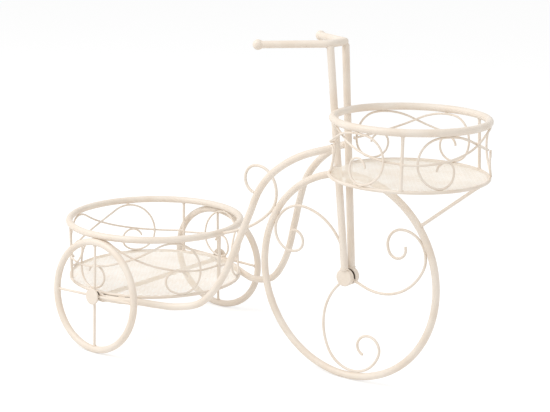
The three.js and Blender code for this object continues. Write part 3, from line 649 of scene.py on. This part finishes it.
def lug_plate(tube_end):
    """A plate with round ends: half a circle round the pin, half a smaller one round the tube's end,
    and a hole for the pin. Four loops of points, low and high, outside and in the hole, are
    joined in turn."""
    reach = math.hypot(tube_end[0], tube_end[2])
    ahead = math.atan2(tube_end[2], tube_end[0])
    lean = math.asin((lug_radius - tube_radius) / reach)
    wide = np.linspace(math.pi / 2 - lean, 3 * math.pi / 2 + lean, 40)
    small = np.linspace(-math.pi / 2 + lean, math.pi / 2 - lean, 24)
    across = np.hstack([lug_radius * np.cos(wide), reach + tube_radius * np.cos(small)])
    beside = np.hstack([lug_radius * np.sin(wide), tube_radius * np.sin(small)])
    aim = np.arctan2(beside, across)
    outer = np.stack([across, beside], -1)
    inner = pin_bore * np.stack([np.cos(aim), np.sin(aim)], -1)
    turn = np.array([[math.cos(ahead), math.sin(ahead)], [-math.sin(ahead), math.cos(ahead)]])
    loops = [(inner, lug_high), (outer, lug_high), (outer, lug_low), (inner, lug_low)]
    rows = [np.stack([flat @ turn[:, 0], 0 * aim + along, flat @ turn[:, 1]], -1)
            for flat, along in loops]
    return skin(np.array(rows), closed=True)


frame_beads = []
crevice_painted_shade = []
for hand, side in (("right", -1), ("left", 1)):
    seats = rear_centre + frame_along * np.stack([np.cos(frame_seats), np.sin(frame_seats)], -1)
    seats = np.hstack([seats, np.full((3, 1), rear_ring_height - frame_below_ring)])
    before = np.array(frame_before_basket) + (rear_centre[0], 0, 0)
    way = np.vstack([frame_beside_wheel, before, seats]) * (1, side, 1)
    leg = fork_point(side, frame_joint_height)
    heading = (way[0] - leg) / np.linalg.norm(way[0] - leg)
    root = leg + heading * tube_radius / 2
    path = smooth_way(np.vstack([root, way]), 16)
    place = wheel_place(side)
    axle_place = place(np.zeros(3))
    tube_end = (place(np.eye(3)) - axle_place) @ (path[-1] - axle_place)
    tube = carried(path, (0, 0, 1), tube_radius, tube_sides, nose=1.2)
    lug = placed(lug_plate(tube_end), place)
    coated(f"frame_tube_{hand}", joined([tube, lug]), edge=0.5)
    joint = leg + heading * (tube_radius + 1.2)
    for turn in range(0, 360, 60):
        twist = Matrix.Rotation(math.radians(turn), 3, Vector(heading))
        round_joint = np.array(twist @ Vector((0, 0, 1)))
        round_joint = round_joint - np.dot(round_joint, heading) * heading
        round_joint = round_joint / np.linalg.norm(round_joint)
        along_joint = np.cross(heading, round_joint)
        middle = joint + round_joint * (tube_radius - 0.4)
        frame_beads.append(bead(middle, along_joint, heading, frame_joint_weld, 60 + turn + side))
    middle_seat = rear_centre + (frame_along + rear_ring_radius) / 2 * np.array(
        [math.cos(frame_seats[1]), math.sin(frame_seats[1])])
    seat = np.array([middle_seat[0], side * middle_seat[1], rear_ring_height - frame_below_ring * 0.3])
    tangent = np.array([-math.sin(frame_seats[1]), side * math.cos(frame_seats[1]), 0])
    frame_beads.append(bead(seat, tangent, (0, 0, 1), frame_ring_weld, 400 + side))
    # A thin near black-brown wire in the crevice where the tube lies against the ring: painted shade.
    painted_shade_aim = np.linspace(math.radians(60), math.radians(83), 40)
    painted_shade_path = np.stack([
        rear_centre[0] + ring_painted_shade_radius * np.cos(painted_shade_aim),
        side * ring_painted_shade_radius * np.sin(painted_shade_aim), rear_ring_height - 1.5 + 0 * painted_shade_aim], -1)
    painted_shade_radius = 0.55 + 0.15 * np.sin(40 * painted_shade_aim)
    crevice_painted_shade.append(carried(painted_shade_path, (0, 0, 1), painted_shade_radius, 8, nose=0.4))
    # Near black-brown beads above the leg joint and behind the top of the fork leg: painted shade in
    # those crevices.
    above = joint + (-0.4, side * 1.5, tube_radius)
    crevice_painted_shade.append(bead(above, (0, 1, 0), heading, frame_joint_painted_shade, 95 + side))
    behind = fork_point(side, fork_top_height) + (-4.7, -3.6, 0.2)
    crevice_painted_shade.append(bead(behind, (0.6, -0.8, 0), (0, 0, 1), fork_top_painted_shade, 97 + side))
piece("frame_welds", joined(frame_beads), tube_coat)
# All these crevice marks are painted shade, in the near black-brown coat.
piece("crevice_painted_shade", joined(crevice_painted_shade), painted_shade_coat)

# ----------------------------------------------------------
# Basket rims and rings. A rim is a tube ring; the rear basket's ring is closed 5.5 mm wire, and
# the front one's is open where the fork legs pass, with its ends welded to their outer sides.
front_rim_height = 450.5
front_rim_radius = 121
front_ring_height = 361.5
front_ring_radius = 125
rear_rim_height = 205.2
rear_rim_radius = 154
basket_rim_seam = math.radians(148)
rear_ring_seam = math.radians(20)
basket_points = 360
ring_end_weld = (3.4, 3.1, 2.0)
leg_rim_weld = (3.6, 2.6, 1.6)
front_leg = fork_point(1, front_rim_height)
leg_to_centre = front_rim_radius + 2 * tube_radius + seat_gap
front_centre = np.array([front_leg[0] + math.sqrt(leg_to_centre ** 2 - front_leg[1] ** 2), 0])
baskets = {
    "front": SimpleNamespace(
        centre=front_centre, rim_height=front_rim_height, rim_radius=front_rim_radius,
        ring_height=front_ring_height, ring_radius=front_ring_radius, inset=1, beads=[]),
    "rear": SimpleNamespace(
        centre=rear_centre, rim_height=rear_rim_height, rim_radius=rear_rim_radius,
        ring_height=rear_ring_height, ring_radius=rear_ring_radius, inset=3.7, beads=[]),
}


def on_basket(centre, radius, angle, height):
    """Points round a basket: its centre, and radius times the cosine and the sine of angle"""
    angle, radius, height = np.broadcast_arrays(angle, radius, height)
    forward = centre[0] + radius * np.cos(angle)
    beside = centre[1] + radius * np.sin(angle)
    return np.stack([forward, beside, height], -1)


def leg_support(height):
    """Where the left fork leg stands round the front basket, and half the angle that it takes"""
    leg = fork_point(1, height)
    angle = math.pi - math.atan2(leg[1], front_centre[0] - leg[0])
    return angle, (tube_radius + seat_gap) / front_ring_radius


for which, basket in baskets.items():
    around = np.linspace(0, 2 * np.pi, basket_points, endpoint=False)
    rim_path = on_basket(basket.centre, basket.rim_radius, around, basket.rim_height)
    rim_tube = seamed(tube_radius, basket_rim_seam, basket_points)
    rim = carried(rim_path, (0, 0, 1), rim_tube, tube_sides, closed=True)
    coated(f"{which}_basket_rim", rim)
    if which == "rear":
        ring_path = on_basket(basket.centre, basket.ring_radius, around, basket.ring_height)
        ring_tube = seamed(ring_wire, rear_ring_seam, basket_points)
        ring = carried(ring_path, (0, 0, 1), ring_tube, wire_sides, closed=True)
    else:
        angle, half = leg_support(basket.ring_height)
        around = np.linspace(half - angle, angle - half, basket_points)
        ring_path = on_basket(basket.centre, basket.ring_radius, around, basket.ring_height)
        ring = carried(ring_path, (0, 0, 1), ring_wire, wire_sides, nose=0.8)
        for end, sign in ((ring_path[0], -1), (ring_path[-1], 1)):
            middle = end + (-0.4, sign * 0.5, 0.4)
            basket.beads.append(bead(middle, (0.2, 1, 0), (0, 0, 1), ring_end_weld, 500 + sign))
    coated(f"{which}_basket_ring", ring)
for side in (-1, 1):
    leg = fork_point(side, front_rim_height)
    leg_angle = math.pi - side * math.asin(front_leg[1] / leg_to_centre)
    rim_point = on_basket(front_centre, front_rim_radius, leg_angle, front_rim_height)
    touch = (leg + rim_point) / 2
    for lift, seed in ((2.2, 510), (-2.2, 514)):
        weld = bead(touch + (0, 0, lift), (0.16, side, 0), (0, 0, 1), leg_rim_weld, seed + side)
        baskets["front"].beads.append(weld)

# ----------------------------------------------------------
# Basket posts. Straight 5 mm wires from the ring up to the underside of the rim, with a small
# weld at both ends.
post_radius = 2.5
post_angles = {"front": (-63.5, 58.8), "rear": (-1.3, 111.2, 235)}
post_foot_weld = (4.2, 1.5, 2.9)
post_head_weld = (4.0, 1.4, 3.2)
for which, angles in post_angles.items():
    basket = baskets[which]
    for number, degrees in enumerate(angles, 1):
        angle = math.radians(degrees)
        foot = on_basket(basket.centre, basket.ring_radius, angle, basket.ring_height + ring_wire)
        head = on_basket(basket.centre, basket.rim_radius, angle, basket.rim_height - tube_radius)
        path = foot + np.linspace(-0.01, 1.005, 30)[:, None] * (head - foot)
        post = carried(path, (1, 0, 0), post_radius, wire_sides, nose=0.4)
        coated(f"{which}_basket_post_{number}", post)
        along = (-math.sin(angle), math.cos(angle), 0)
        foot_bead = bead(foot + (0, 0, 0.1), along, (0, 0, 1), post_foot_weld, 520 + number)
        head_bead = bead(head + (0, 0, 0.3), along, (0, 0, 1), post_head_weld, 530 + number)
        basket.beads.extend([foot_bead, head_bead])

# ----------------------------------------------------------
# Basket scrolls. Two 3.5 mm wires cross in each panel of the wall, one lying outside the other.
# Each starts in a curl, loops down to the ring and up to the rim and sweeps on to the next
# support. They are spot welded where they touch the rim, the ring and the support.
scroll_radius = 1.75
scroll_sides = 16
scroll_layer = 2
scroll_touch_weld = (3.4, 1.2, 1.7)
scroll_end_weld = (1.5, 2.7, 2.3)
scroll_shapes = {
    "front": SimpleNamespace(
        heading=82.4, offsets=(53, 53, 55, 44, 53, 57),
        bends=[(14.6, -162), (23.1, -107), (37.3, -166), (116.6, -32.5), (299, 34)]),
    "rear": SimpleNamespace(
        heading=68.7, offsets=(71.5, 71.5, 82, 71.5, 71.5, 68.5),
        bends=[(19.3, -213.5), (34.6, -115.4), (51.9, -130), (340, 52)]),
}


def wall_scroll(which, offset, start, stop):
    """The middle line of a wall scroll: the bent line with its heights stretched to run from ring to
    rim, wrapped round the wall from one support towards the other, and cut where it meets that."""
    basket = baskets[which]
    shape = scroll_shapes[which]
    hand = math.copysign(1, stop[0] - start[0])
    ring_reach = ring_wire + scroll_radius + seat_gap
    bottom = basket.ring_height + math.sqrt(ring_reach ** 2 - scroll_layer ** 2)
    rim_reach = tube_radius + scroll_radius + seat_gap
    top = basket.rim_height - math.sqrt(rim_reach ** 2 - (basket.inset - scroll_layer) ** 2)

    def wall_radius(height):
        # the wall is a cone, from the ring's radius to just inside the rim's
        share = (height - basket.ring_height) / (basket.rim_height - basket.ring_height)
        return basket.ring_radius + (basket.rim_radius - basket.inset - basket.ring_radius) * share

    line = bent_line((offset, 0), shape.heading, shape.bends)
    low = line[:, 1].min()
    high = line[:, 1].max()
    around = wall_radius((top + bottom) / 2)
    limit = (abs(stop[0] - start[0]) - stop[1]) * around
    kept = np.nonzero(line[:, 0] < limit)[0].max() + 1
    line = line[:kept + 1]
    if kept < len(line):
        share = (limit - line[-2, 0]) / (line[-1, 0] - line[-2, 0])
        line[-1] = line[-2] + share * (line[-1] - line[-2])
    height = bottom + (line[:, 1] - low) * (top - bottom) / (high - low)
    radius = wall_radius(height) - hand * scroll_layer
    return on_basket(basket.centre, radius, start[0] + hand * line[:, 0] / around, height)


for which, basket in baskets.items():
    half = (post_radius + seat_gap) / basket.ring_radius
    supports = [(math.radians(degrees), half) for degrees in post_angles[which]]
    once_round = (supports[0][0] + 2 * math.pi, half)
    if which == "front":
        angle, leg_half = leg_support((basket.ring_height + basket.rim_height) / 2)
        panels = [(supports[0], supports[1]), (supports[1], (angle, leg_half)),
                  ((2 * math.pi - angle, leg_half), once_round)]
    else:
        panels = [(supports[0], supports[1]), (supports[1], supports[2]), (supports[2], once_round)]
    crossed_pairs = [pair for panel in panels for pair in (panel, panel[::-1])]
    for number, (start, stop) in enumerate(crossed_pairs, 1):
        path = wall_scroll(which, scroll_shapes[which].offsets[number - 1], start, stop)
        outward = (path - (*basket.centre, 0)) * (1, 1, 0)
        scroll = carried(path, outward, scroll_radius, scroll_sides, nose=1.2)
        coated(f"{which}_basket_scroll_{number}", scroll)
        top = path[path[:, 2].argmax()]
        bottom = path[path[:, 2].argmin()]
        for place, lift in ((top, 1.8), (bottom, -1.8)):
            angle = math.atan2(place[1] - basket.centre[1], place[0] - basket.centre[0])
            along = (-math.sin(angle), math.cos(angle), 0)
            seed = 540 + 2 * number + (lift > 0)
            seat = place + (0, 0, lift)
            basket.beads.append(bead(seat, along, (0, 0, 1), scroll_touch_weld, seed))
        aim = path[-1] - path[-4]
        end = path[-1] + aim / np.linalg.norm(aim) * 0.4
        basket.beads.append(bead(end, aim, (0, 0, 1), scroll_end_weld, 570 + number))
    piece(f"{which}_basket_welds", joined(basket.beads), tube_coat)

# ----------------------------------------------------------
# Basket floors. Fine expanded steel: a sheet slit and pulled open, so that its strands zigzag and
# meet at the knuckles. It is cut round and welded inside the ring, and powder coated.
mesh_long = 13
mesh_short = 7.2
strand_half = 0.72
strand_thick = 0.24
mesh_turn = math.radians(-53)
mesh_tilt = 0.12
floor_rise = 1.5
floor_inset = 2.2

# The mesh's coat is a lighter copy of the cream coat: painted light, standing in for the overhead light
# on the strands' tops and making up for the strands shading each other.
painted_light_mesh_coat = powder_coat("lightened_cream_mesh_coat", (0.96, 0.90, 0.81), (0.90, 0.81, 0.69), (0.45, 0.6), 0.72)


def expanded_mesh(centre, height, radius, back):
    """Zigzag strands side by side. Strand k runs along Y at k half short pitches, and swings by
    nearly a quarter of a short pitch to either side, every half long pitch, opposite to its
    neighbours. The swing tilts it out of the sheet too. The whole sheet is then turned in its plane
    and loses what lies behind back."""
    turn = np.array(Matrix.Rotation(mesh_turn, 3, "Z"))
    strands = []
    count = int(radius / (mesh_short / 2))
    for row in range(-count, count + 1):
        middle = row * mesh_short / 2
        reach = math.sqrt(radius ** 2 - middle ** 2) - 0.4
        last_turn = math.floor(reach / (mesh_long / 2))
        turns = np.arange(-last_turn, last_turn + 1)
        swing = np.where((turns + row) % 2 == 0, 1, -1) * (mesh_short / 4 - strand_half / 3)
        path = np.stack([middle + swing, turns * mesh_long / 2, mesh_tilt * swing], -1)
        path = np.vstack([[(middle, -reach, 0)], path, [(middle, reach, 0)]]) @ turn.T
        path = path[path[:, 0] > back]
        if len(path) < 4:
            continue
        across = np.array([strand_half, 0, mesh_tilt * strand_half])
        through = np.array([-mesh_tilt * strand_thick, 0, strand_thick])
        corners = np.array([across + through, across - through, -across - through, -across + through])
        strands.append(skin(path[:, None] + corners @ turn.T + (*centre, height)))
    return joined(strands)


for which, basket in baskets.items():
    back = -basket.ring_radius
    if which == "front":
        leg = fork_point(1, basket.ring_height)
        back = leg[0] + tube_radius + seat_gap - basket.centre[0]
    height = basket.ring_height + floor_rise
    floor = expanded_mesh(basket.centre, height, basket.ring_radius - floor_inset, back)
    piece(f"{which}_basket_floor_mesh", floor, painted_light_mesh_coat, f"{which}_basket_floor")

# ----------------------------------------------------------
# Rear axle rod. A length of 8 mm bar under the rear basket's ring, from one wheel's pin to the
# other's, welded to the ring where it passes under it. It is seen mostly through the mesh.
rod_radius = 4
rod_sides = 24
rod_weld = (4.2, 1.6, 1.4)
rod_box = np.array(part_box("rear_axle_rod")) / MM - contact
rod_middle = rod_box.mean(0)
rod_length = rod_box[1, 1] - rod_box[0, 1]
rod_path = rod_middle + np.linspace(-0.5, 0.5, 80)[:, None] * (0, rod_length, 0)
rod = carried(rod_path, (0, 0, 1), rod_radius, rod_sides, nose=0.6)
coated("rear_axle_rod", rod)
rod_beads = []
for side in (-1, 1):
    for ahead in (-1, 1):
        place = rod_middle + (ahead * 2.6, side * rear_ring_radius, rod_radius - 0.8)
        rod_beads.append(bead(place, (0, 1, 0), (1, 0, 0), rod_weld, 80 + side + 3 * ahead))
piece("rear_axle_welds", joined(rod_beads), tube_coat)

# ----------------------------------------------------------
# Strut and centre scroll. A straight wire from the front wheel's rim to the front ring, and a
# wire scroll from the rear basket's rim to the front wheel's rim, both welded at their ends.
strut_radius = 2.75
centre_wire = 2.5
centre_sides = 20
centre_start_heading = 15.2
strut_foot_weld = (4.2, 3.3, 1.0)
strut_head_weld = (3.6, 1.3, 3.1)
centre_wheel_weld = (7, 2.1, 1.6)
centre_rim_weld = (3.2, 3.0, 1.5)
ring_front = np.array([front_centre[0] + front_ring_radius, 0, front_ring_height])
wheel_centre = np.array([0, 0, axle_height])
outward = (ring_front - wheel_centre) / np.linalg.norm(ring_front - wheel_centre)
foot = wheel_centre + outward * (wheel_radius + tube_radius - 0.3)
head = ring_front - outward * (ring_wire - 0.3)
path = foot + np.linspace(0, 1, 40)[:, None] * (head - foot)
strut = carried(path, (0, 1, 0), strut_radius, centre_sides, nose=0.3)
coated("basket_strut", strut)
across = (outward[2], 0, -outward[0])
touch = wheel_centre + outward * (wheel_radius + tube_radius + 0.3)
line_beads = [bead(touch, across, (0, 1, 0), strut_foot_weld, 600),
              bead(head, (0, 1, 0), outward, strut_head_weld, 601)]

rim_front = np.array([rear_centre[0] + rear_rim_radius + tube_radius, rear_rim_height])
start = rim_front + (seat_gap, 0)
centre_bends = [(340, 9.5), (167.8, 20.8), (48.8, 81.1), (38.4, 67.8), (24.3, 153.1)]
reach = wheel_radius + tube_radius + seat_gap + centre_wire
line = fitted(lambda size: bent_line(start, centre_start_heading, centre_bends, size),
              lambda points: reach - np.linalg.norm(points - wheel_centre[[0, 2]], axis=1).min())
touch = line[np.linalg.norm(line - wheel_centre[[0, 2]], axis=1).argmin()]
line = np.vstack([start - (0.6, 0.15), line])
scroll = carried(in_middle_plane(line), (0, 1, 0), centre_wire, centre_sides, nose=1.4)
coated("centre_scroll", scroll)
inward = (wheel_centre[[0, 2]] - touch) / np.linalg.norm(wheel_centre[[0, 2]] - touch)
seat = in_middle_plane((touch + inward * centre_wire)[None])[0]
line_beads.append(bead(seat, (inward[1], 0, -inward[0]), (0, 1, 0), centre_wheel_weld, 602))
rim_seat = in_middle_plane(start[None])[0]
line_beads.append(bead(rim_seat, (0, 1, 0), (0, 0, 1), centre_rim_weld, 603))
piece("centre_line_welds", joined(line_beads), tube_coat)

# ----------------------------------------------------------
# Studio. A pale floor that runs off into a white background, a wide soft light high on the left,
# a weaker one on the right, and the camera where the photograph was taken from.
floor_size = 8


def looked_at(tree):
    """1 for a ray from the camera, a mirror or something clear, and 0 for a ray of light: the
    greatest of three outputs of a Light Path"""
    rays = tree.nodes.new("ShaderNodeLightPath")
    greatest = rays.outputs["Is Camera Ray"]
    for name in ("Is Glossy Ray", "Is Transmission Ray"):
        either = tree.nodes.new("ShaderNodeMath")
        either.operation = "MAXIMUM"
        tree.links.new(greatest, either.inputs[0])
        tree.links.new(rays.outputs[name], either.inputs[1])
        greatest = either.outputs[0]
    return greatest


floor_mesh = bpy.data.meshes.new("studio_floor")
corners = [(-floor_size, -floor_size, 0), (floor_size, -floor_size, 0), (floor_size, floor_size, 0),
           (-floor_size, floor_size, 0)]
floor_mesh.from_pydata(corners, [], [(0, 1, 2, 3)])
floor_paint = bpy.data.materials.new("studio_paper")
floor_paint.use_nodes = True
nodes = floor_paint.node_tree.nodes
links = floor_paint.node_tree.links
nodes.clear()
paper = nodes.new("ShaderNodeBsdfDiffuse")
paper.inputs["Color"].default_value = (0.9, 0.9, 0.9, 1)
seen_paper = nodes.new("ShaderNodeBsdfDiffuse")
seen_paper.inputs["Color"].default_value = (0.62, 0.62, 0.62, 1)
glow = nodes.new("ShaderNodeEmission")
glow.inputs["Strength"].default_value = 0.52
seen = nodes.new("ShaderNodeAddShader")
links.new(seen_paper.outputs[0], seen.inputs[0])
links.new(glow.outputs[0], seen.inputs[1])
mix = nodes.new("ShaderNodeMixShader")
links.new(looked_at(floor_paint.node_tree), mix.inputs[0])
links.new(paper.outputs[0], mix.inputs[1])
links.new(seen.outputs[0], mix.inputs[2])
links.new(mix.outputs[0], nodes.new("ShaderNodeOutputMaterial").inputs["Surface"])
floor_mesh.materials.append(floor_paint)
studio_floor = bpy.data.objects.new("studio_floor", floor_mesh)
bpy.context.scene.collection.objects.link(studio_floor)

sky_light = 0.72
world = bpy.data.worlds.new("studio")
world.use_nodes = True
air = world.node_tree
sky = air.nodes["Background"]
sky.inputs["Color"].default_value = (1, 1, 1, 1)
air.links.new(ranged(air, looked_at(air), 0, 1, sky_light, 1), sky.inputs["Strength"])
bpy.context.scene.world = world

for name, place, aim, size, power in (
        ("key_light", (-1.2, -1.6, 2.6), (0, 0, 0.25), 2.2, 48),
        ("fill_light", (2.4, -0.8, 1.4), (0, 0, 0.25), 2.0, 6)):
    lamp = bpy.data.lights.new(name, "AREA")
    lamp.shape = "DISK"
    lamp.size = size
    lamp.energy = power
    holder = bpy.data.objects.new(name, lamp)
    holder.location = place
    holder.rotation_euler = (Vector(place) - Vector(aim)).to_track_quat("Z", "Y").to_euler()
    bpy.context.scene.collection.objects.link(holder)

camera_turn, camera_rise, camera_roll = np.radians([37.144, 13.491, 0.794])
camera_target = np.array([21.35, 0, 270.9])
camera_distance = 2399.8
level_back = np.array([math.sin(camera_turn), -math.cos(camera_turn), 0])
back = math.cos(camera_rise) * level_back + (0, 0, math.sin(camera_rise))
level_right = np.array([math.cos(camera_turn), math.sin(camera_turn), 0])
level_up = np.cross(back, level_right)
right = math.cos(camera_roll) * level_right + math.sin(camera_roll) * level_up
up = math.cos(camera_roll) * level_up - math.sin(camera_roll) * level_right
camera = bpy.data.objects.new("camera", bpy.data.cameras.new("camera"))
camera.data.lens = 93.09
camera.data.sensor_width = 36
placing = np.eye(4)
placing[:3, :3] = np.stack([right, up, back], -1)
placing[:3, 3] = (camera_target + back * camera_distance) * MM
camera.matrix_world = Matrix(placing.tolist())
bpy.context.scene.collection.objects.link(camera)
bpy.context.scene.camera = camera
bpy.context.scene.view_settings.view_transform = "Standard"
